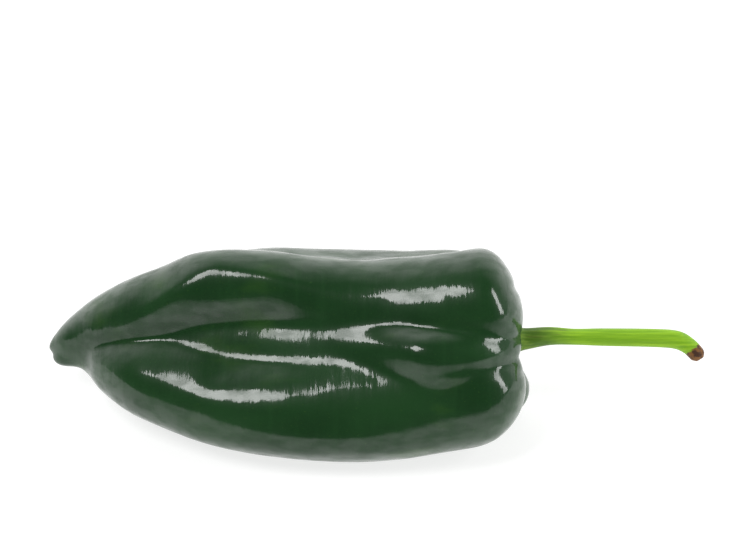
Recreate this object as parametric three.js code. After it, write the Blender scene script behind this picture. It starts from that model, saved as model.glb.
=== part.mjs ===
// A poblano pepper lying on its side: the pod as one grown solid, the calyx in its basin and the cut
// stem. Millimetres, +Z up, +X from the tip to the stem, the viewer's side towards -Y.
// The origin is at the middle of the bounding box, on the surface that the pepper lies on.
import * as THREE from 'three';
import { mergeVertices } from 'three/addons/utils/BufferGeometryUtils.js';

// Driving dimensions.
// Sections are drawn in a frame that runs along the pod (from the tip), back and up, and the whole
// pepper is then rolled towards the viewer until it lies on its two lower lobes.
const ROLL = THREE.MathUtils.degToRad(37);
const MIDDLE_X = 90.4;
const MIDDLE_Y = 4.7;
const REST_HEIGHT = 23.5;

// Lobe centre lines: [along, back, up, radius]. domes: [tip apex, tip full, crown full, crown apex].
const UPPER_FRONT = {
  domes: [-3.3, 4, 120, 133.2],
  stations: [
    [-3.3, 20, 1.8, 3.2], [6, 17, 5.8, 7], [12, 14, 8.1, 8.9], [21, 9.5, 11.2, 10.3],
    [30, 5.8, 14.2, 10.6], [42, 1.5, 18.4, 10.8], [60, -0.5, 18.9, 10.8], [74, 0, 15.8, 12.2],
    [88, 0.4, 12.9, 14.1], [96, -0.2, 13, 14.6], [104, -2.2, 13.2, 14.9], [112, -3.8, 13.6, 15.4],
    [124, -4.2, 14, 16], [134, -3.8, 9.4, 15],
  ],
};
const LOWER_FRONT = {
  domes: [-2.2, 3, 118, 133.8],
  stations: [
    [-2.2, 20, -1, 3], [6, 17.2, -0.2, 3.9], [9, 15.8, -1.4, 4.9], [12, 11.8, -3, 6.6],
    [21, 6, -6.2, 9.7], [30, 2.6, -9.2, 10.6], [42, -1, -13, 10.8], [52, -2.6, -14.2, 11.8],
    [60, -3.2, -14.4, 12.9], [74, -3.4, -14.6, 14.3], [87, -3.6, -14.4, 15], [100, -4, -13.4, 15],
    [112, -4.5, -11.8, 14.6], [124, -4.6, -9.9, 14.6], [134, -4.2, -8.3, 14],
  ],
};
const UPPER_BACK = {
  domes: [-2.6, 5, 118, 134.8],
  stations: [
    [-2.6, 21, 1.4, 3], [6, 21, 3, 4.4], [12, 20.5, 5, 6.4], [21, 20, 8.2, 9.2], [30, 18.8, 11, 11.6],
    [42, 17.4, 14.4, 13.5], [60, 15.6, 16, 14.6], [74, 14.6, 15.1, 15.3], [100, 13.4, 14.2, 15.6],
    [118, 12.6, 14, 15.4], [134.8, 11, 9, 13],
  ],
};
const LOWER_BACK = {
  domes: [-2.2, 5, 120, 136],
  stations: [
    [-2.2, 21, 0.6, 2.4], [6, 21.5, 1, 3.6], [12, 21.5, 0.8, 5.6], [21, 21.2, 0.4, 8.2],
    [30, 20.6, 0, 9.6], [42, 19.4, -0.4, 10.5], [60, 18.4, -0.8, 11.2], [87, 17.6, -1.8, 11.3],
    [100, 16.8, -2.8, 10.9], [112, 15.2, -4.8, 10.5], [120, 13.6, -6.8, 10.2], [136, 12, -9.6, 11.4],
  ],
};
const CORE = {
  domes: [-2.2, 3, 112, 126],
  stations: [
    [-2.2, 20.6, 1.2, 2.6], [6, 19.2, 2.6, 4.6], [12, 17.4, 2.6, 7], [21, 15, 2.6, 10.8],
    [30, 14, 2.4, 13.2], [42, 12.6, 1.6, 16], [60, 10.2, 0.7, 18], [74, 7.4, 0.1, 19],
    [100, 4.6, 0.2, 18.8], [126, 3.8, 2.6, 17],
  ],
};
// Cheeks: low swellings that flatten the side towards the viewer above and below the front groove.
const UPPER_CHEEK = {
  domes: [10, 40, 120, 133.4],
  stations: [
    [10, 17, 4, 4], [21, 13, 4, 7], [30, 10, 3.6, 9.4], [42, 7, 5.2, 11.4], [55, 5.4, 5.4, 12.4],
    [66, 3.4, 4.6, 12.4], [76, 0.6, 3.6, 11.8], [87, -5, 1.4, 10.6], [96, -9.6, 0, 9.6],
    [104, -12.6, -0.6, 9.2], [112, -13.2, -0.4, 9], [123, -11, 1, 9], [134, -8, 4, 9],
  ],
};
const LOWER_CHEEK = {
  domes: [4, 30, 120, 133],
  stations: [
    [4, 17.5, 1, 4], [21, 7.4, -2.6, 8], [30, 3.8, -4.2, 9], [42, 0.4, -6.2, 9.2],
    [52, -0.4, -7.4, 9.2], [64, -1, -8.4, 10], [76, -3.2, -8.6, 11], [87, -4.6, -8.6, 11.4],
    [100, -5.4, -8.4, 11.8], [112, -5.6, -7.2, 11.8], [124, -5.6, -5.4, 11.6], [134, -4.6, -3.8, 11],
  ],
};
const DOME_SQUARENESS = 2.4;
const PAST_END_STEEPNESS = 3;
const LOBES = [UPPER_FRONT, LOWER_FRONT, UPPER_BACK, LOWER_BACK, CORE, UPPER_CHEEK, LOWER_CHEEK];

// How tightly the lobes meet: [along, sharpness in 1/mm]. A low value fills the grooves.
const GROOVES = [[-4, 1.8], [8, 1.3], [30, 0.8], [60, 0.8], [90, 1], [112, 1.1], [136, 1.4]];

// The basin at the stem end is a ball pressed into the crown: centre [along, back, up] and radius.
const BASIN = { along: 143.5, back: 3.4, up: 4, radius: 15.5, blend: 0.9 };

// The pod's mesh: rings are spread over the tip, the body and the crown.
const POD_RINGS = 60;
const POD_SIDES = 56;
const TIP_FOCUS = 3;
const CROWN_FOCUS = 108;
const TIP_SHARE = 0.12;
const BODY_SHARE = 0.5;
const FARTHEST_SKIN = 48;
const MARCH_STEP = 0.8;
const HALVINGS = 16;
const MERGE_WITHIN = 1e-5;

// Stem: [along, back, up, radius] down its middle, from the calyx to the cut end.
const STEM = [
  [130.8, 3.4, 4.4, 4.1], [132, 3.4, 4.5, 3.7], [134, 3.4, 4.6, 3.1], [141, 3.4, 5.4, 2.6],
  [148, 3.4, 5.2, 2.3], [156, 3.4, 5.1, 2.5], [172, 3.4, 4.8, 2.6], [177.5, 3.4, 4.2, 2.6],
  [180.6, 3.4, 2.5, 2.4], [182.4, 3.4, 0.7, 2.3], [183.4, 3.4, -0.6, 2.1],
];
const STEM_RINGS = 34;
const STEM_SIDES = 16;
const STEM_EDGE = 0.5;

// Calyx: a thin saucer on the basin floor. Its rim waves in and out round the stem's foot.
const CALYX_RADIUS = 8.6;
const CALYX_THICKNESS = 0.9;
const CALYX_RIM_THICKNESS = 0.45;
const CALYX_GAP = 0.8;
const CALYX_TEETH = 5;
const CALYX_WAVE = 0.7;
const CALYX_SIDES = 40;
const CALYX_STEPS = 7;

// Curves through stations: the slope at each row, then a cubic between rows.
function slopes(rows) {
  return rows.map((row, i) => {
    const before = rows[Math.max(i - 1, 0)];
    const after = rows[Math.min(i + 1, rows.length - 1)];
    return row.map((value, k) => (after[k] - before[k]) / (after[0] - before[0]));
  });
}

function follow(rows, steepness, at) {
  const last = rows.length - 1;
  const place = THREE.MathUtils.clamp(at, rows[0][0], rows[last][0]);
  let i = 0;
  while (i < last - 1 && rows[i + 1][0] < place) i += 1;
  const width = rows[i + 1][0] - rows[i][0];
  const t = (place - rows[i][0]) / width;
  const square = t * t;
  const cube = square * t;
  return rows[i].map((value, k) => (2 * cube - 3 * square + 1) * value
    + (cube - 2 * square + t) * width * steepness[i][k]
    + (3 * square - 2 * cube) * rows[i + 1][k]
    + (cube - square) * width * steepness[i + 1][k]);
}

for (const lobe of LOBES) lobe.slopes = slopes(lobe.stations);
const grooveSlopes = slopes(GROOVES);

// How much of its radius a lobe has at a place along it: it closes in a dome at each end.
function domeShare([tipApex, tipFull, crownFull, crownApex], along) {
  const t = along < tipFull ? (tipFull - along) / (tipFull - tipApex)
    : Math.max(along - crownFull, 0) / (crownApex - crownFull);
  return t < 1 ? Math.sqrt(1 - t ** DOME_SQUARENESS) : 0;
}

// Distance to a lobe's side, negative inside. It grows faster past the lobe's ends.
function lobeDistance(lobe, point) {
  const [, back, up, radius] = follow(lobe.stations, lobe.slopes, point.x);
  const past = Math.max(lobe.domes[0] - point.x, point.x - lobe.domes[3], 0);
  const side = Math.hypot(point.y - back, point.z - up) - radius * domeShare(lobe.domes, point.x);
  return side + PAST_END_STEEPNESS * past;
}

// Negative inside the pod: the lobes and the core are fused smoothly, and the basin is pressed in.
function skin(point) {
  const sharp = follow(GROOVES, grooveSlopes, point.x)[1];
  const distances = LOBES.map((lobe) => lobeDistance(lobe, point));
  const nearest = Math.min(...distances);
  const weight = distances.reduce((sum, d) => sum + Math.exp(-sharp * (d - nearest)), 0);
  const fused = nearest - Math.log(weight) / sharp;
  const basin = BASIN.radius - Math.hypot(point.x - BASIN.along, point.y - BASIN.back, point.z - BASIN.up);
  const higher = Math.max(fused, basin);
  const pressed = Math.exp(BASIN.blend * (fused - higher)) + Math.exp(BASIN.blend * (basin - higher));
  return higher + Math.log(pressed) / BASIN.blend;
}

// Goes out from the core along a direction to the last crossing of the skin.
function outermost(origin, direction) {
  const at = (distance) => skin(origin.clone().addScaledVector(direction, distance));
  let inside = 0;
  for (let distance = MARCH_STEP; distance < FARTHEST_SKIN; distance += MARCH_STEP) {
    if (at(distance) < 0) inside = distance;
  }
  let outside = inside + MARCH_STEP;
  for (let i = 0; i < HALVINGS; i += 1) {
    const middle = (inside + outside) / 2;
    if (at(middle) < 0) inside = middle;
    else outside = middle;
  }
  return origin.clone().addScaledVector(direction, outside);
}

// A ball's vertices, its top pole at the tip, are sent out to the skin: from the tip's focus, from the
// core's line, then from the crown's focus.
function podGeometry() {
  const ball = new THREE.SphereGeometry(1, POD_SIDES, POD_RINGS);
  ball.deleteAttribute('normal');
  ball.deleteAttribute('uv');
  const geometry = mergeVertices(ball, MERGE_WITHIN);
  const position = geometry.getAttribute('position');
  const vertex = new THREE.Vector3();
  for (let i = 0; i < position.count; i += 1) {
    vertex.fromBufferAttribute(position, i);
    const ringShare = Math.acos(THREE.MathUtils.clamp(vertex.y, -1, 1)) / Math.PI;
    const angle = Math.atan2(vertex.z, -vertex.x);
    const tipTilt = Math.max(1 - ringShare / TIP_SHARE, 0);
    const crownTilt = Math.max((ringShare - TIP_SHARE - BODY_SHARE) / (1 - TIP_SHARE - BODY_SHARE), 0);
    const tilt = (crownTilt - tipTilt) * Math.PI / 2;
    const along = THREE.MathUtils.lerp(TIP_FOCUS, CROWN_FOCUS,
      THREE.MathUtils.clamp((ringShare - TIP_SHARE) / BODY_SHARE, 0, 1));
    const [, back, up] = follow(CORE.stations, CORE.slopes, along);
    const direction = new THREE.Vector3(
      Math.sin(tilt), -Math.cos(tilt) * Math.cos(angle), Math.cos(tilt) * Math.sin(angle));
    const place = outermost(new THREE.Vector3(along, back, up), direction);
    position.setXYZ(i, place.x, place.y, place.z);
  }
  return geometry;
}

// The stem is a turned stalk bent along its middle line.
function stemGeometry() {
  const middles = STEM.map(([along, back, up]) => new THREE.Vector3(along, back, up));
  const line = new THREE.CatmullRomCurve3(middles);
  const radii = STEM.map((row, i) => [i / (STEM.length - 1), row[3]]);
  const radiiSlopes = slopes(radii);
  const profile = [new THREE.Vector2(0, 0)];
  for (let i = 0; i <= STEM_RINGS; i += 1) {
    const share = i / STEM_RINGS;
    const edge = i === 0 || i === STEM_RINGS ? STEM_EDGE : 0;
    const curveShare = line.getUtoTmapping(share);
    profile.push(new THREE.Vector2(follow(radii, radiiSlopes, curveShare)[1] - edge, share));
  }
  profile.push(new THREE.Vector2(0, 1));
  const stalk = new THREE.LatheGeometry(profile, STEM_SIDES);
  stalk.deleteAttribute('normal');
  stalk.deleteAttribute('uv');
  const geometry = mergeVertices(stalk, MERGE_WITHIN);
  const position = geometry.getAttribute('position');
  const sideways = new THREE.Vector3(0, 1, 0);
  for (let i = 0; i < position.count; i += 1) {
    const share = position.getY(i);
    const centre = line.getPointAt(share);
    const forward = line.getTangentAt(share);
    const upward = new THREE.Vector3().crossVectors(forward, sideways).normalize();
    centre.addScaledVector(sideways, -position.getX(i)).addScaledVector(upward, position.getZ(i));
    position.setXYZ(i, centre.x, centre.y, centre.z);
  }
  return geometry;
}

// The calyx is a saucer that follows the basin's floor.
function calyxGeometry() {
  const floorAt = (radius) => BASIN.along - Math.sqrt(BASIN.radius ** 2 - radius ** 2) + CALYX_GAP;
  const profile = [];
  for (let i = 0; i <= CALYX_STEPS; i += 1) {
    const radius = CALYX_RADIUS * i / CALYX_STEPS;
    profile.push(new THREE.Vector2(radius, floorAt(radius)));
  }
  for (let i = CALYX_STEPS; i >= 0; i -= 1) {
    const radius = CALYX_RADIUS * i / CALYX_STEPS;
    const thickness = i === CALYX_STEPS ? CALYX_RIM_THICKNESS : CALYX_THICKNESS;
    profile.push(new THREE.Vector2(radius, floorAt(radius) + thickness));
  }
  const saucer = new THREE.LatheGeometry(profile, CALYX_SIDES);
  saucer.deleteAttribute('normal');
  saucer.deleteAttribute('uv');
  const geometry = mergeVertices(saucer, MERGE_WITHIN);
  const position = geometry.getAttribute('position');
  for (let i = 0; i < position.count; i += 1) {
    const x = position.getX(i);
    const z = position.getZ(i);
    const outward = Math.hypot(x, z) / CALYX_RADIUS;
    const wave = 1 + (CALYX_WAVE / CALYX_RADIUS) * Math.cos(CALYX_TEETH * Math.atan2(z, x)) * outward;
    position.setXYZ(i, position.getY(i), BASIN.back - x * wave, BASIN.up + z * wave);
  }
  return geometry;
}

// Rolls a piece from the section frame to where it lies. What would sink under the surface is flat.
function layDown(geometry) {
  geometry.rotateX(-ROLL);
  geometry.translate(-MIDDLE_X, -MIDDLE_Y, REST_HEIGHT);
  const position = geometry.getAttribute('position');
  for (let i = 0; i < position.count; i += 1) position.setZ(i, Math.max(position.getZ(i), 0));
  geometry.computeVertexNormals();
  return geometry;
}

function piece(name, geometry, material) {
  const mesh = new THREE.Mesh(layDown(geometry), material);
  mesh.name = name;
  return mesh;
}

// Skin of the pod, bark of the stem and the calyx.
const podMaterial = new THREE.MeshStandardMaterial({ color: 0x1d3d26, roughness: 0.18, metalness: 0 });
const stemMaterial = new THREE.MeshStandardMaterial({ color: 0x6f9a2c, roughness: 0.5, metalness: 0 });
const calyxMaterial = new THREE.MeshStandardMaterial({ color: 0x4d7a2a, roughness: 0.5, metalness: 0 });

const pepper = new THREE.Group();
pepper.add(piece('pod', podGeometry(), podMaterial));
pepper.add(piece('calyx', calyxGeometry(), calyxMaterial));
pepper.add(piece('stem', stemGeometry(), stemMaterial));

export default pepper;
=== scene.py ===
import math

import bpy
import numpy as np
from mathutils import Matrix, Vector


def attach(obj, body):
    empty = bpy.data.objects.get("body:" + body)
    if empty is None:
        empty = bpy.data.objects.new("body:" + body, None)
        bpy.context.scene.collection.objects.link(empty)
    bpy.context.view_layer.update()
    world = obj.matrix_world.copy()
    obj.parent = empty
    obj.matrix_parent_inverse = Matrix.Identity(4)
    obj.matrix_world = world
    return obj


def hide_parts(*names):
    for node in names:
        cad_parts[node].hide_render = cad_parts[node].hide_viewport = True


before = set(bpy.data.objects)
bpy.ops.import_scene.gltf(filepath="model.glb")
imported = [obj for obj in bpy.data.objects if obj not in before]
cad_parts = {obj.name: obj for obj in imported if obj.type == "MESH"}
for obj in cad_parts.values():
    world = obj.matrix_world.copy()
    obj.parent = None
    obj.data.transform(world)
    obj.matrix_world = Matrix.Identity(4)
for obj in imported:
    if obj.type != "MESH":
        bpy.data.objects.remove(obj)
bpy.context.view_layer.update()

# A poblano pepper lying on its side. Sections are given in millimetres in a frame that runs along the
# pod from its tip, back and up, and the pepper is then rolled until it lies on its two lower lobes.
MM = 0.001
ROLL = math.radians(37)
MIDDLE_X = 90.4
MIDDLE_Y = 4.7
REST_HEIGHT = 23.5

# Lobe centre lines: along, back, up, radius. Domes: tip apex, tip full, crown full, crown apex.
UPPER_FRONT = {
    "domes": (-3.3, 4, 120, 133.2),
    "stations": [
        (-3.3, 20, 1.8, 3.2), (6, 17, 5.8, 7), (12, 14, 8.1, 8.9), (21, 9.5, 11.2, 10.3),
        (30, 5.8, 14.2, 10.6), (42, 1.5, 18.4, 10.8), (60, -0.5, 18.9, 10.8), (74, 0, 15.8, 12.2),
        (88, 0.4, 12.9, 14.1), (96, -0.2, 13, 14.6), (104, -2.2, 13.2, 14.9), (112, -3.8, 13.6, 15.4),
        (124, -4.2, 14, 16), (134, -3.8, 9.4, 15),
    ],
}
LOWER_FRONT = {
    "domes": (-2.2, 3, 118, 133.8),
    "stations": [
        (-2.2, 20, -1, 3), (6, 17.2, -0.2, 3.9), (9, 15.8, -1.4, 4.9), (12, 11.8, -3, 6.6),
        (21, 6, -6.2, 9.7), (30, 2.6, -9.2, 10.6), (42, -1, -13, 10.8), (52, -2.6, -14.2, 11.8),
        (60, -3.2, -14.4, 12.9), (74, -3.4, -14.6, 14.3), (87, -3.6, -14.4, 15), (100, -4, -13.4, 15),
        (112, -4.5, -11.8, 14.6), (124, -4.6, -9.9, 14.6), (134, -4.2, -8.3, 14),
    ],
}
UPPER_BACK = {
    "domes": (-2.6, 5, 118, 134.8),
    "stations": [
        (-2.6, 21, 1.4, 3), (6, 21, 3, 4.4), (12, 20.5, 5, 6.4), (21, 20, 8.2, 9.2),
        (30, 18.8, 11, 11.6), (42, 17.4, 14.4, 13.5), (60, 15.6, 16, 14.6), (74, 14.6, 15.1, 15.3),
        (100, 13.4, 14.2, 15.6), (118, 12.6, 14, 15.4), (134.8, 11, 9, 13),
    ],
}
LOWER_BACK = {
    "domes": (-2.2, 5, 120, 136),
    "stations": [
        (-2.2, 21, 0.6, 2.4), (6, 21.5, 1, 3.6), (12, 21.5, 0.8, 5.6), (21, 21.2, 0.4, 8.2),
        (30, 20.6, 0, 9.6), (42, 19.4, -0.4, 10.5), (60, 18.4, -0.8, 11.2), (87, 17.6, -1.8, 11.3),
        (100, 16.8, -2.8, 10.9), (112, 15.2, -4.8, 10.5), (120, 13.6, -6.8, 10.2), (136, 12, -9.6, 11.4),
    ],
}
CORE = {
    "domes": (-2.2, 3, 112, 126),
    "stations": [
        (-2.2, 20.6, 1.2, 2.6), (6, 19.2, 2.6, 4.6), (12, 17.4, 2.6, 7), (21, 15, 2.6, 10.8),
        (30, 14, 2.4, 13.2), (42, 12.6, 1.6, 16), (60, 10.2, 0.7, 18), (74, 7.4, 0.1, 19),
        (100, 4.6, 0.2, 18.8), (126, 3.8, 2.6, 17),
    ],
}
UPPER_CHEEK = {
    "domes": (10, 40, 117, 132.6),
    "stations": [
        (10, 17, 4, 4), (21, 13, 4, 7), (30, 10, 3.6, 9.4), (42, 7, 5.2, 11.4), (55, 5.4, 5.4, 12.4),
        (66, 3.4, 4.6, 12.4), (76, 0.6, 3.6, 11.8), (87, -5, 1.4, 10.6), (96, -9.6, 0, 9.6),
        (104, -12.6, -0.6, 9.2), (112, -13.1, -0.4, 9), (122, -11, 1, 9.1), (134, -6.6, 4, 9),
    ],
}
LOWER_CHEEK = {
    "domes": (4, 30, 120, 133),
    "stations": [
        (4, 17.5, 1, 4), (21, 7.4, -2.6, 8), (30, 3.8, -4.2, 9), (42, 0.4, -6.2, 9.2),
        (52, -0.4, -7.4, 9.2), (64, -1, -8.4, 10), (76, -3.4, -8.2, 11), (87, -5.4, -7.8, 11.5),
        (100, -6.2, -7.8, 11.9), (112, -6, -7, 11.9), (124, -5.6, -5.4, 11.6), (134, -4.6, -3.8, 11),
    ],
}
LOBES = (UPPER_FRONT, LOWER_FRONT, UPPER_BACK, LOWER_BACK, CORE, UPPER_CHEEK, LOWER_CHEEK)
DOME_SQUARENESS = 2.4
PAST_END_STEEPNESS = 3
# How sharply the lobes meet, along the pod: place, sharpness.
GROOVES = [(-4, 1.8), (8, 1.3), (30, 0.8), (60, 0.8), (90, 1), (112, 1.3), (124, 1.9), (136, 2.6)]
BASIN = {"along": 143.5, "back": 3.4, "up": 4, "radius": 15.5, "blend": 0.9}

# The skin's soft unevenness, one named form a row. Each: centre along, back, up;
# reach along, back, up; turn of its long axis in degrees; height (dents are negative).
RELIEF = {
    "ridge_rising_from_the_tip": (34, -5, 16, 14, 14, 3.2, 35, 1.4),
    "ridge_falling_to_the_middle": (64, -10, 20, 17, 14, 3.4, -14, 1.2),
    "hollow_under_the_ridge": (58, -9, 9, 20, 14, 4.5, 0, -0.4),
    "lower_lobe_swelling": (44, -8, -10, 12, 14, 5, -25, 0.8),
    "pit_in_the_lower_lobe": (47, -8, -5, 3.6, 14, 2.8, 20, -0.5),
    "small_swelling_in_the_lower_lobe": (66, -12, -13, 6, 14, 3.5, 0, 0.4),
    "dip_in_the_middle": (92, -17, -3, 12, 14, 5, -12, -1.1),
    "shoulder_swelling": (104, -18, 3, 8, 14, 6, -25, 1.5),
    "pit_in_the_shoulder": (104, -18, 7, 4, 14, 2.4, -30, -0.5),
    "side_of_the_shoulder": (120, -17, 12, 5, 14, 9, 0, 0.7),
    "lower_lobe_belly": (75, -14, -24, 38, 14, 5, 0, 1.6),
    "lower_lobe_shoulder": (110, -17, -7.5, 16, 14, 3.6, 4, 0.6),
    "groove_between_the_lobes": (115, -17, -3.2, 13, 14, 1.6, 7, -0.5),
    "crown_crease": (131.5, 3, 19.5, 4, 14, 1.6, 20, -1),
}

# The pod's rings start round the tip's focus, follow the core and end round the crown's focus.
POD_RINGS = 150
POD_SIDES = 140
TIP_FOCUS = 3
CROWN_FOCUS = 108
TIP_SHARE = 0.12
BODY_SHARE = 0.5
SEARCH_STEP = 0.8
SEARCH_REACH = 48
SEARCH_HALVINGS = 18

# Stem: along, back, up and radius down its middle, from the calyx to the cut end.
STEM = [
    (130.8, 3.4, 4.4, 4.1), (132, 3.4, 4.5, 3.7), (134, 3.4, 4.6, 3.1), (141, 3.4, 5.4, 2.6),
    (148, 3.4, 5.2, 2.3), (156, 3.4, 5.1, 2.5), (172, 3.4, 4.8, 2.6), (177.5, 3.4, 4.2, 2.6),
    (180.6, 3.4, 2.5, 2.4), (182.4, 3.4, 0.7, 2.3), (183.1, 3.4, -0.2, 2.15), (183.7, 3.4, -1.1, 1.2),
]
STEM_SIDES = 48
STEM_RINGS = 110
STEM_FINE_STEPS = 400

CALYX_RADIUS = 8.6
CALYX_THICKNESS = 0.9
CALYX_EDGE_SHARE = 0.5
CALYX_INNERMOST_SHARE = 0.08
CALYX_GAP = 0.8
CALYX_TEETH = 5
CALYX_WAVE = 0.7
CALYX_SIDES = 80
CALYX_STEPS = 12

# The first circle and the step of a drawn tube, in metres. Every ring is then moved to its own place.
DRAFT_RADIUS = 0.01
DRAFT_STEP = 0.001
ANGLE_DIGITS = 4
PLACE_DIGITS = 5
SIDE_FACE_CORNERS = 4

# Colours in linear light.
SKIN_DARK = (0.0098, 0.0445, 0.012)
SKIN_MID = (0.0165, 0.065, 0.0185)
SKIN_YELLOWISH = (0.034, 0.098, 0.017)
STEM_GREEN = (0.22, 0.47, 0.017)
STEM_YELLOW = (0.36, 0.66, 0.028)
STEM_OLIVE = (0.24, 0.40, 0.05)
STEM_BASE_DARK = (0.11, 0.24, 0.02)
STEM_BROWN = (0.12, 0.10, 0.035)
STEM_RUSTY = (0.25, 0.11, 0.03)
STEM_DRIED = (0.075, 0.035, 0.02)
CALYX_GREEN = (0.07, 0.17, 0.02)
FLOOR_GREY = (0.4, 0.4, 0.4)
WHITE = (1, 1, 1)

# Patterns: waves per metre along X, Y and Z; detail; noise where it starts and is full; share at each.
SKIN_CLOUDS = ((28, 60, 60), 3, 0.35, 0.75, 0, 1)
SKIN_PATCHES = ((46, 90, 90), 4, 0.56, 0.78, 0, 0.55)
SKIN_STREAKS = ((420, 40, 40), 4, 0.45, 0.8, 0, 0.45)
SKIN_SPECKS = ((1500, 1500, 1500), 1, 0.66, 0.8, 0, 0.35)
SKIN_WAX = ((150, 320, 320), 4, 0.36, 0.62, 0.55, 0.95)
SKIN_WAX_ROUGHNESS = ((260, 420, 420), 3, 0.3, 0.75, 0.05, 0.13)
STEM_BROWN_LINES = ((90, 1500, 1500), 2, 0.57, 0.7, 0, 1)
STEM_DRIED_BLOTCHES = ((700, 700, 700), 3, 0.42, 0.6, 0, 1)
CALYX_BLOTCHES = ((260, 260, 260), 4, 0.4, 0.65, 0, 1)
CALYX_DRY_SPECKS = ((900, 900, 900), 2, 0.6, 0.72, 0, 0.7)

# Fine relief in the finishes: waves per metre along X, Y and Z; detail; height in millimetres.
SKIN_HOLLOWS = ((95, 75, 75), 2, 0.22)
SKIN_WRINKLES = ((430, 110, 110), 3, 0.1)
SKIN_RIPPLES = ((1100, 230, 230), 2, 0.03)
STEM_GRAIN = ((900, 1800, 1800), 3, 0.12)
CALYX_GRAIN = ((600, 600, 600), 4, 0.3)
STEM_FIBRE_HEIGHT_MM = 0.35

# Fades along X in the finishes, in metres: from, to, share at each.
SKIN_TOWARDS_CROWN = (0.034, 0.046, 0, 0.5)
STEM_FROM_BASE = (0.050, 0.064, 0, 1)
STEM_BROWN_NEAR_BASE = (0.050, 0.062, 0.65, 0)

SKIN_ROUGHNESS = 0.36
SKIN_SPECULAR = 0.12
CALYX_ROUGHNESS = 0.5
STEM_SPECULAR = 0.25
STEM_FIBRE_WAVES = (55, 1100, 1100)
STEM_FIBRE_DETAIL = 4
# How far into the fibres' noise: from, to, and for the roughness its value at each.
STEM_FIBRE_SHARE = (0.35, 0.7)
STEM_FIBRE_ROUGHNESS = (0.3, 0.7, 0.42, 0.62)
BASE_RAGGED_BY = 0.008
# The dried end starts this far along the way that the stem bends, between the two edges, in metres.
BEND_WAY = (0.61, -0.476, -0.631)
CUT_START = 0.0425
CUT_EDGE_BEFORE = 0.0002
CUT_EDGE_AFTER = 0.0003
CUT_FRAYED_BY = 0.002

# The studio. Fades: from, to, value at each, with the floor's along Y in metres.
FLOOR_SIZE = 6
FLOOR_ROUGHNESS = 0.9
FLOOR_GLOW = 0.78
FLOOR_GLOW_TO_THE_FRONT = (-0.42, -0.11, 0.12, FLOOR_GLOW)
AIR_FROM_FRONT_TO_BACK = (0.1, 0.9, 0.06, 1.75)
AIR_SIDE_SHARE = 0.28
# Each light: place, width and height in metres, power in watts.
LIGHT_TARGET = (0, 0, 0.02)
OVERHEAD_SOFTBOX = ((-0.46, -0.3, 0.9), 0.36, 0.48, 5.5)
RIGHT_STRIP = ((0.9, -0.25, 0.5), 0.2, 0.9, 5)

CAMERA_ELEVATION = math.radians(37)
CAMERA_DISTANCE = 0.587
CAMERA_LENS = 100
CAMERA_SENSOR = 36
CAMERA_NEAREST = 0.01
PICTURE_ALONG = 91.585
PICTURE_UP = 22.7


# Curves through stations.
def follow(rows, at):
    """Smooth values of the rows after the first column, at places along the first."""
    table = np.array(rows, float)
    x, y = table[:, 0], table[:, 1:]
    before = np.maximum(np.arange(len(x)) - 1, 0)
    after = np.minimum(np.arange(len(x)) + 1, len(x) - 1)
    slope = (y[after] - y[before]) / (x[after] - x[before])[:, None]
    place = np.clip(np.asarray(at, float), x[0], x[-1])
    i = np.clip(np.searchsorted(x, place, side="left") - 1, 0, len(x) - 2)
    width = (x[i + 1] - x[i])[..., None]
    t = (place - x[i])[..., None] / width
    return ((2 * t**3 - 3 * t**2 + 1) * y[i] + (t**3 - 2 * t**2 + t) * width * slope[i]
            + (3 * t**2 - 2 * t**3) * y[i + 1] + (t**3 - t**2) * width * slope[i + 1])


# The pod's skin.
def dome_share(domes, along):
    """The share of a lobe's radius that is left where its ends round over."""
    tip_apex, tip_full, crown_full, crown_apex = domes
    tip = (tip_full - along) / (tip_full - tip_apex)
    crown = (along - crown_full) / (crown_apex - crown_full)
    t = np.clip(np.maximum(tip, crown), 0, 1)
    return np.sqrt(1 - t**DOME_SQUARENESS)


def lobe_distance(lobe, points):
    """Roughly how far the points are outside one lobe, negative inside."""
    along = points[..., 0]
    line = follow(lobe["stations"], along)
    past = np.maximum(np.maximum(lobe["domes"][0] - along, along - lobe["domes"][3]), 0)
    across = np.hypot(points[..., 1] - line[..., 0], points[..., 2] - line[..., 1])
    return across - line[..., 2] * dome_share(lobe["domes"], along) + PAST_END_STEEPNESS * past


def skin(points):
    """Negative inside the pod: the lobes and the core fused smoothly, with the basin pressed in."""
    sharp = follow(GROOVES, points[..., 0])[..., 0]
    distances = np.stack([lobe_distance(lobe, points) for lobe in LOBES], -1)
    nearest = distances.min(-1)
    farther = distances - nearest[..., None]
    fused = nearest - np.log(np.exp(-sharp[..., None] * farther).sum(-1)) / sharp
    middle = np.array([BASIN["along"], BASIN["back"], BASIN["up"]])
    basin = BASIN["radius"] - np.linalg.norm(points - middle, axis=-1)
    higher = np.maximum(fused, basin)
    blend = BASIN["blend"]
    return higher + np.log(np.exp(blend * (fused - higher)) + np.exp(blend * (basin - higher))) / blend


def relief(points):
    """Height of the soft unevenness at the points, in millimetres."""
    height = np.zeros(points.shape[:-1])
    for along, back, up, reach_along, reach_back, reach_up, turn, rise in RELIEF.values():
        away = points - np.array([along, back, up])
        cosine, sine = math.cos(math.radians(turn)), math.sin(math.radians(turn))
        lengthwise = (away[..., 0] * cosine + away[..., 2] * sine) / reach_along
        crosswise = (away[..., 2] * cosine - away[..., 0] * sine) / reach_up
        height += rise * np.exp(-lengthwise**2 - crosswise**2 - (away[..., 1] / reach_back) ** 2)
    return height


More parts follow.
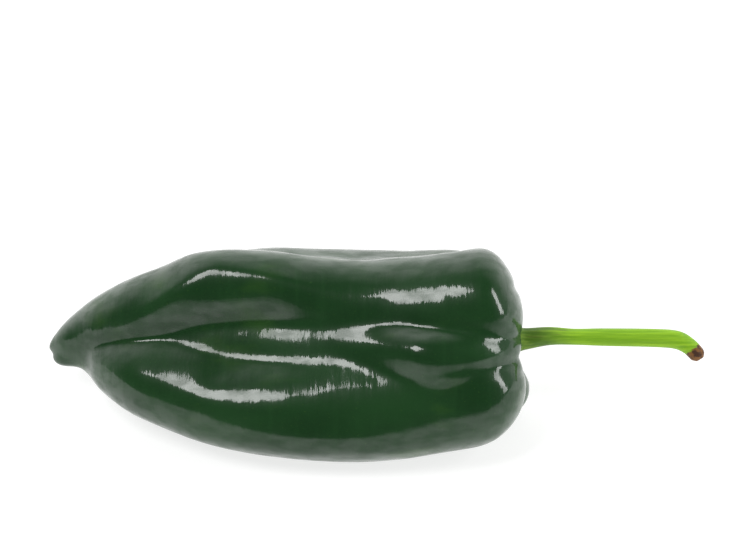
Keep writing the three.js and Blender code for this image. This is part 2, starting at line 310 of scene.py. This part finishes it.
def outermost(origins, directions):
    """Goes out from the core along each direction to the last crossing of the skin."""
    inside = np.zeros(len(origins))
    for distance in np.arange(SEARCH_STEP, SEARCH_REACH, SEARCH_STEP):
        inside = np.where(skin(origins + directions * distance) < 0, distance, inside)
    outside = inside + SEARCH_STEP
    for _ in range(SEARCH_HALVINGS):
        middle = (inside + outside) / 2
        within = skin(origins + directions * middle[:, None]) < 0
        inside, outside = np.where(within, middle, inside), np.where(within, outside, middle)
    return origins + directions * outside[:, None]


def ring_rays(share, angles):
    """Where one ring's rays start and point: from the tip's focus, the core's line, the crown's focus."""
    tip_tilt = max(1 - share / TIP_SHARE, 0)
    crown_tilt = max((share - TIP_SHARE - BODY_SHARE) / (1 - TIP_SHARE - BODY_SHARE), 0)
    tilt = (crown_tilt - tip_tilt) * math.pi / 2
    along = TIP_FOCUS + (CROWN_FOCUS - TIP_FOCUS) * min(max((share - TIP_SHARE) / BODY_SHARE, 0), 1)
    back, up, _ = follow(CORE["stations"], along)
    origins = np.tile([along, back, up], (len(angles), 1))
    directions = np.stack([np.full(len(angles), math.sin(tilt)), -math.cos(tilt) * np.cos(angles),
                           math.cos(tilt) * np.sin(angles)], -1)
    return origins, directions


# The surface that the pepper lies on.
def lay_down(points):
    """From the section frame in millimetres to where the pepper lies, in metres."""
    along, back, up = points[..., 0], points[..., 1], points[..., 2]
    y = back * math.cos(ROLL) + up * math.sin(ROLL)
    z = up * math.cos(ROLL) - back * math.sin(ROLL)
    laid = np.stack([along - MIDDLE_X, y - MIDDLE_Y, np.maximum(z + REST_HEIGHT, 0)], -1)
    return laid * MM


# Drawing a piece as a tube.
def deselect_all():
    if bpy.context.object and bpy.context.object.mode != "OBJECT":
        bpy.ops.object.mode_set(mode="OBJECT")
    bpy.ops.object.select_all(action="DESELECT")


def draw_out_tube(name, sides, rings):
    """A capped tube along X drawn out of a circle ring by ring."""
    deselect_all()
    bpy.ops.mesh.primitive_circle_add(vertices=sides, radius=DRAFT_RADIUS, fill_type="NGON",
                                      rotation=(0, math.pi / 2, 0))
    tube = bpy.context.object
    tube.name = name
    bpy.ops.object.transform_apply(location=True, rotation=True, scale=True)
    bpy.ops.object.mode_set(mode="EDIT")
    bpy.ops.mesh.select_all(action="SELECT")
    for _ in range(rings - 1):
        bpy.ops.mesh.extrude_region_move(TRANSFORM_OT_translate={"value": (DRAFT_STEP, 0, 0)})
    bpy.ops.object.mode_set(mode="OBJECT")
    return tube


def rings_in_order(tube, sides):
    """Vertex numbers ring by ring, each by its angle round X."""
    places = np.array([v.co[:] for v in tube.data.vertices])
    angles = np.round(np.arctan2(places[:, 2], places[:, 1]), ANGLE_DIGITS)
    order = np.lexsort((angles, np.round(places[:, 0], PLACE_DIGITS)))
    return order.reshape(-1, sides)


def angles_round(sides):
    return np.arange(sides) * 2 * math.pi / sides


def put_in_place(tube, order, laid):
    """Moves the tube's vertices, in the order of its rings, to the laid-down places."""
    vertices = tube.data.vertices
    for index, place in zip(order.reshape(-1), laid):
        vertices[index].co = place


def close_ends(tube):
    """Draws both end faces in to a point."""
    bpy.context.view_layer.objects.active = tube
    bpy.ops.object.mode_set(mode="EDIT")
    bpy.ops.mesh.select_all(action="DESELECT")
    bpy.ops.object.mode_set(mode="OBJECT")
    for face in tube.data.polygons:
        if len(face.vertices) > SIDE_FACE_CORNERS:
            face.select = True
    bpy.ops.object.mode_set(mode="EDIT")
    bpy.ops.mesh.poke()
    bpy.ops.mesh.select_all(action="SELECT")
    bpy.ops.mesh.normals_make_consistent(inside=False)
    bpy.ops.object.mode_set(mode="OBJECT")


def smooth_finish(piece, levels):
    """Shades the piece smoothly, after that many levels of subdivision."""
    deselect_all()
    piece.select_set(True)
    bpy.context.view_layer.objects.active = piece
    if levels:
        rounding = piece.modifiers.new("rounding", "SUBSURF")
        rounding.levels = rounding.render_levels = levels
        bpy.ops.object.modifier_apply(modifier=rounding.name)
    bpy.ops.object.shade_smooth()


# The three pieces.
def model_pod():
    pod = draw_out_tube("pod_skin", POD_SIDES, POD_RINGS)
    order = rings_in_order(pod, POD_SIDES)
    angles = angles_round(POD_SIDES)
    shares = (np.arange(POD_RINGS) + 1) / (POD_RINGS + 1)
    rays = [ring_rays(share, angles) for share in shares]
    origins = np.concatenate([ray[0] for ray in rays])
    directions = np.concatenate([ray[1] for ray in rays])
    points = outermost(origins, directions)
    points += directions * relief(points)[:, None]
    put_in_place(pod, order, lay_down(points))
    close_ends(pod)
    smooth_finish(pod, 1)
    for vertex in pod.data.vertices:
        vertex.co.z = max(vertex.co.z, 0)
    return pod


def stem_line(shares):
    """Middle line and radius of the stem at shares of its length."""
    fine = np.linspace(STEM[0][0], STEM[-1][0], STEM_FINE_STEPS)
    line = np.concatenate([fine[:, None], follow(STEM, fine)], 1)
    steps = np.linalg.norm(np.diff(line[:, :3], axis=0), axis=1)
    reach = np.concatenate([[0], np.cumsum(steps)])
    return np.stack([np.interp(shares * reach[-1], reach, column) for column in line.T], -1)


def model_stem():
    stem = draw_out_tube("stem_stalk", STEM_SIDES, STEM_RINGS)
    order = rings_in_order(stem, STEM_SIDES)
    line = stem_line(np.linspace(0, 1, STEM_RINGS))
    forward = np.gradient(line[:, :3], axis=0)
    forward /= np.linalg.norm(forward, axis=1)[:, None]
    sideways = np.array([0.0, 1.0, 0.0])
    upward = np.cross(forward, sideways)
    angles = angles_round(STEM_SIDES)
    rings = []
    for centre, up in zip(line, upward):
        outward = np.cos(angles)[:, None] * sideways + np.sin(angles)[:, None] * up
        rings.append(centre[None, :3] + centre[3] * outward)
    put_in_place(stem, order, lay_down(np.concatenate(rings)))
    close_ends(stem)
    smooth_finish(stem, 0)
    return stem


def basin_floor(radius):
    """How far along the calyx's underside lies at a radius, a small gap clear of the basin."""
    return BASIN["along"] - np.sqrt(BASIN["radius"] ** 2 - radius**2) + CALYX_GAP


def calyx_profile():
    """Radius and place along: out over the underside and back over the top, thinner at the edge."""
    outwards = np.linspace(CALYX_INNERMOST_SHARE, 1, CALYX_STEPS) * CALYX_RADIUS
    under = [(radius, basin_floor(radius)) for radius in outwards]
    over = []
    for radius in outwards[::-1]:
        thickness_share = CALYX_EDGE_SHARE if radius == outwards[-1] else 1
        over.append((radius, basin_floor(radius) + CALYX_THICKNESS * thickness_share))
    return under + over


def model_calyx():
    profile = calyx_profile()
    calyx = draw_out_tube("calyx_cap", CALYX_SIDES, len(profile))
    order = rings_in_order(calyx, CALYX_SIDES)
    angles = angles_round(CALYX_SIDES)
    rings = []
    for radius, along in profile:
        wave = 1 + CALYX_WAVE / CALYX_RADIUS * np.cos(CALYX_TEETH * angles) * radius / CALYX_RADIUS
        back = BASIN["back"] + radius * wave * np.cos(angles)
        up = BASIN["up"] + radius * wave * np.sin(angles)
        rings.append(np.stack([np.full(CALYX_SIDES, along), back, up], -1))
    put_in_place(calyx, order, lay_down(np.concatenate(rings)))
    close_ends(calyx)
    smooth_finish(calyx, 0)
    return calyx


# Parts of the finishes.
def new_material(name):
    material = bpy.data.materials.new(name)
    material.use_nodes = True
    nodes, links = material.node_tree.nodes, material.node_tree.links
    nodes.clear()
    shader = nodes.new("ShaderNodeBsdfPrincipled")
    output = nodes.new("ShaderNodeOutputMaterial")
    links.new(shader.outputs["BSDF"], output.inputs["Surface"])
    return material, nodes, links, shader


def object_place(nodes):
    return nodes.new("ShaderNodeTexCoord").outputs["Object"]


def axis(nodes, links, place, letter):
    """The place's own X, Y or Z."""
    axes = nodes.new("ShaderNodeSeparateXYZ")
    links.new(place, axes.inputs["Vector"])
    return axes.outputs[letter]


def stretched(nodes, links, place, waves_per_metre):
    """The place with its own number of waves per metre along X, Y and Z."""
    mapping = nodes.new("ShaderNodeMapping")
    mapping.inputs["Scale"].default_value = waves_per_metre
    links.new(place, mapping.inputs["Vector"])
    return mapping.outputs["Vector"]


def mottle(nodes, links, place, waves_per_metre, detail):
    noise = nodes.new("ShaderNodeTexNoise")
    noise.inputs["Scale"].default_value = 1
    noise.inputs["Detail"].default_value = detail
    links.new(stretched(nodes, links, place, waves_per_metre), noise.inputs["Vector"])
    return noise.outputs["Fac"]


def between(nodes, links, value, low, high, low_out=0.0, high_out=1.0):
    """A smooth step of the value from low to high."""
    step = nodes.new("ShaderNodeMapRange")
    step.interpolation_type = "SMOOTHSTEP"
    step.inputs["From Min"].default_value = low
    step.inputs["From Max"].default_value = high
    step.inputs["To Min"].default_value = low_out
    step.inputs["To Max"].default_value = high_out
    links.new(value, step.inputs["Value"])
    return step.outputs["Result"]


def pattern(nodes, links, place, row):
    """The share of one of the patterns at the place."""
    waves_per_metre, detail, *steps = row
    return between(nodes, links, mottle(nodes, links, place, waves_per_metre, detail), *steps)


def combine(nodes, links, operation, first, second):
    math_node = nodes.new("ShaderNodeMath")
    math_node.operation = operation
    for socket, value in zip(math_node.inputs, (first, second)):
        if isinstance(value, (int, float)):
            socket.default_value = value
        else:
            links.new(value, socket)
    return math_node.outputs["Value"]


def tinted(nodes, links, share, under, over):
    """The colour under, tinted by the colour over as the share rises."""
    mix = nodes.new("ShaderNodeMix")
    mix.data_type = "RGBA"
    links.new(share, mix.inputs["Factor"])
    for socket, colour in ((mix.inputs[6], under), (mix.inputs[7], over)):
        if isinstance(colour, tuple):
            socket.default_value = (*colour, 1)
        else:
            links.new(colour, socket)
    return mix.outputs[2]


def raised(nodes, links, height, most_mm, normal=None):
    """A bump of at most that many millimetres, over an earlier one if there is one."""
    bump = nodes.new("ShaderNodeBump")
    bump.inputs["Strength"].default_value = 1
    bump.inputs["Distance"].default_value = most_mm * MM
    links.new(height, bump.inputs["Height"])
    if normal is not None:
        links.new(normal, bump.inputs["Normal"])
    return bump.outputs["Normal"]


def fine_relief(nodes, links, place, row, normal=None):
    """The bump of one of the fine reliefs."""
    waves_per_metre, detail, most_mm = row
    return raised(nodes, links, mottle(nodes, links, place, waves_per_metre, detail), most_mm, normal)


# The three finishes.
def pod_finish():
    material, nodes, links, shader = new_material("waxy_dark_green_skin")
    place = object_place(nodes)

    colour = tinted(nodes, links, pattern(nodes, links, place, SKIN_CLOUDS), SKIN_DARK, SKIN_MID)
    colour = tinted(nodes, links, pattern(nodes, links, place, SKIN_PATCHES), colour, SKIN_YELLOWISH)
    colour = tinted(nodes, links, pattern(nodes, links, place, SKIN_STREAKS), colour, SKIN_MID)
    colour = tinted(nodes, links, pattern(nodes, links, place, SKIN_SPECKS), colour, SKIN_YELLOWISH)
    towards_crown = between(nodes, links, axis(nodes, links, place, "X"), *SKIN_TOWARDS_CROWN)
    colour = tinted(nodes, links, towards_crown, colour, SKIN_MID)
    links.new(colour, shader.inputs["Base Color"])

    shader.inputs["Roughness"].default_value = SKIN_ROUGHNESS
    shader.inputs["Specular IOR Level"].default_value = SKIN_SPECULAR
    links.new(pattern(nodes, links, place, SKIN_WAX), shader.inputs["Coat Weight"])
    links.new(pattern(nodes, links, place, SKIN_WAX_ROUGHNESS), shader.inputs["Coat Roughness"])

    hollows = fine_relief(nodes, links, place, SKIN_HOLLOWS)
    wrinkles = fine_relief(nodes, links, place, SKIN_WRINKLES, hollows)
    ripples = fine_relief(nodes, links, place, SKIN_RIPPLES, wrinkles)
    links.new(ripples, shader.inputs["Normal"])
    links.new(ripples, shader.inputs["Coat Normal"])
    return material


def stem_fresh_colour(nodes, links, place, fibres):
    """Bright fibres, muted and with brown lines towards the base."""
    along = axis(nodes, links, place, "X")
    fibre_share = between(nodes, links, fibres, *STEM_FIBRE_SHARE)
    bright = tinted(nodes, links, fibre_share, STEM_GREEN, STEM_YELLOW)
    muted = tinted(nodes, links, fibre_share, STEM_BASE_DARK, STEM_OLIVE)
    raggedness = combine(nodes, links, "MULTIPLY", fibres, BASE_RAGGED_BY)
    ragged = combine(nodes, links, "ADD", along, raggedness)
    colour = tinted(nodes, links, between(nodes, links, ragged, *STEM_FROM_BASE), muted, bright)
    brown_lines = pattern(nodes, links, place, STEM_BROWN_LINES)
    near_base = between(nodes, links, along, *STEM_BROWN_NEAR_BASE)
    brown_share = combine(nodes, links, "MULTIPLY", brown_lines, near_base)
    return tinted(nodes, links, brown_share, colour, STEM_BROWN)


def stem_cut_share(nodes, links, place, fibres):
    """Rises from none to full where the stem's cut end starts."""
    down_the_bend = nodes.new("ShaderNodeVectorMath")
    down_the_bend.operation = "DOT_PRODUCT"
    down_the_bend.inputs[1].default_value = BEND_WAY
    links.new(place, down_the_bend.inputs[0])
    frayed = combine(nodes, links, "MULTIPLY", fibres, CUT_FRAYED_BY)
    ragged_end = combine(nodes, links, "ADD", down_the_bend.outputs["Value"], frayed)
    return between(nodes, links, ragged_end, CUT_START - CUT_EDGE_BEFORE, CUT_START + CUT_EDGE_AFTER)


def stem_finish():
    material, nodes, links, shader = new_material("fresh_green_stem")
    place = object_place(nodes)
    fibres = mottle(nodes, links, place, STEM_FIBRE_WAVES, STEM_FIBRE_DETAIL)

    rim = stem_cut_share(nodes, links, place, fibres)
    colour = tinted(nodes, links, rim, stem_fresh_colour(nodes, links, place, fibres), STEM_RUSTY)
    blotched = pattern(nodes, links, place, STEM_DRIED_BLOTCHES)
    dried = combine(nodes, links, "MULTIPLY", rim, blotched)
    colour = tinted(nodes, links, dried, colour, STEM_DRIED)
    links.new(colour, shader.inputs["Base Color"])

    shader.inputs["Specular IOR Level"].default_value = STEM_SPECULAR
    links.new(between(nodes, links, fibres, *STEM_FIBRE_ROUGHNESS), shader.inputs["Roughness"])
    lines = raised(nodes, links, fibres, STEM_FIBRE_HEIGHT_MM)
    links.new(fine_relief(nodes, links, place, STEM_GRAIN, lines), shader.inputs["Normal"])
    return material


def calyx_finish():
    material, nodes, links, shader = new_material("green_calyx")
    place = object_place(nodes)
    colour = tinted(nodes, links, pattern(nodes, links, place, CALYX_BLOTCHES), CALYX_GREEN, STEM_OLIVE)
    colour = tinted(nodes, links, pattern(nodes, links, place, CALYX_DRY_SPECKS), colour, STEM_BROWN)
    links.new(colour, shader.inputs["Base Color"])
    shader.inputs["Roughness"].default_value = CALYX_ROUGHNESS
    links.new(fine_relief(nodes, links, place, CALYX_GRAIN), shader.inputs["Normal"])
    return material


def dress(piece, node, material):
    piece.data.materials.clear()
    piece.data.materials.append(material)
    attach(piece, "root")
    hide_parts(node)


# The studio.
def floor_finish():
    """The camera sees an even glow. In reflections it fades towards the front."""
    material, nodes, links, shader = new_material("pale_floor")
    shader.inputs["Base Color"].default_value = (*FLOOR_GREY, 1)
    shader.inputs["Roughness"].default_value = FLOOR_ROUGHNESS
    shader.inputs["Emission Color"].default_value = (*WHITE, 1)
    depth = axis(nodes, links, object_place(nodes), "Y")
    mirrored = between(nodes, links, depth, *FLOOR_GLOW_TO_THE_FRONT)
    camera_ray = nodes.new("ShaderNodeLightPath").outputs["Is Camera Ray"]
    seen = combine(nodes, links, "MULTIPLY", camera_ray, FLOOR_GLOW)
    links.new(combine(nodes, links, "MAXIMUM", seen, mirrored), shader.inputs["Emission Strength"])
    return material


def studio_floor():
    deselect_all()
    bpy.ops.mesh.primitive_plane_add(size=FLOOR_SIZE, location=(0, 0, 0))
    floor = bpy.context.object
    floor.name = "studio_floor"
    floor.data.materials.append(floor_finish())


def soft_light(name, row):
    place, width, height, power = row
    data = bpy.data.lights.new(name, "AREA")
    data.shape = "RECTANGLE"
    data.size, data.size_y = width, height
    data.energy = power
    light = bpy.data.objects.new(name, data)
    bpy.context.scene.collection.objects.link(light)
    light.location = place
    light.rotation_euler = (Vector(LIGHT_TARGET) - Vector(place)).to_track_quat("-Z", "Y").to_euler()


def studio_air():
    """The camera sees white. The skin mirrors a pale wall behind, dimmer towards the viewer."""
    world = bpy.data.worlds.new("studio_air")
    world.use_nodes = True
    nodes, links = world.node_tree.nodes, world.node_tree.links
    nodes.clear()
    axes = nodes.new("ShaderNodeSeparateXYZ")
    links.new(nodes.new("ShaderNodeTexCoord").outputs["Generated"], axes.inputs["Vector"])
    sideways = nodes.new("ShaderNodeMath")
    sideways.operation = "ABSOLUTE"
    links.new(axes.outputs["X"], sideways.inputs[0])
    to_the_side = combine(nodes, links, "MULTIPLY", sideways.outputs["Value"], AIR_SIDE_SHARE)
    depth = combine(nodes, links, "ADD", to_the_side, axes.outputs["Y"])
    room = nodes.new("ShaderNodeBackground")
    links.new(between(nodes, links, depth, *AIR_FROM_FRONT_TO_BACK), room.inputs["Strength"])
    backdrop = nodes.new("ShaderNodeBackground")
    backdrop.inputs["Color"].default_value = (*WHITE, 1)
    mix = nodes.new("ShaderNodeMixShader")
    links.new(nodes.new("ShaderNodeLightPath").outputs["Is Camera Ray"], mix.inputs["Fac"])
    links.new(room.outputs["Background"], mix.inputs[1])
    links.new(backdrop.outputs["Background"], mix.inputs[2])
    output = nodes.new("ShaderNodeOutputWorld")
    links.new(mix.outputs["Shader"], output.inputs["Surface"])
    bpy.context.scene.world = world


def photo_camera():
    """Looks down at the pepper from where the photo was taken."""
    data = bpy.data.cameras.new("photo_camera")
    data.lens = CAMERA_LENS
    data.sensor_width = CAMERA_SENSOR
    data.clip_start = CAMERA_NEAREST
    camera = bpy.data.objects.new("photo_camera", data)
    bpy.context.scene.collection.objects.link(camera)
    target = np.array([PICTURE_ALONG - MIDDLE_X, PICTURE_UP * math.sin(ROLL) - MIDDLE_Y,
                       PICTURE_UP * math.cos(ROLL) + REST_HEIGHT]) * MM
    towards_camera = np.array([0, -math.cos(CAMERA_ELEVATION), math.sin(CAMERA_ELEVATION)])
    camera.location = Vector(target + towards_camera * CAMERA_DISTANCE)
    camera.rotation_euler = (math.pi / 2 - CAMERA_ELEVATION, 0, 0)
    bpy.context.scene.camera = camera


dress(model_pod(), "pod", pod_finish())
dress(model_calyx(), "calyx", calyx_finish())
dress(model_stem(), "stem", stem_finish())

studio_floor()
studio_air()
soft_light("overhead_softbox", OVERHEAD_SOFTBOX)
soft_light("right_strip", RIGHT_STRIP)
photo_camera()
bpy.context.scene.view_settings.view_transform = "Standard"
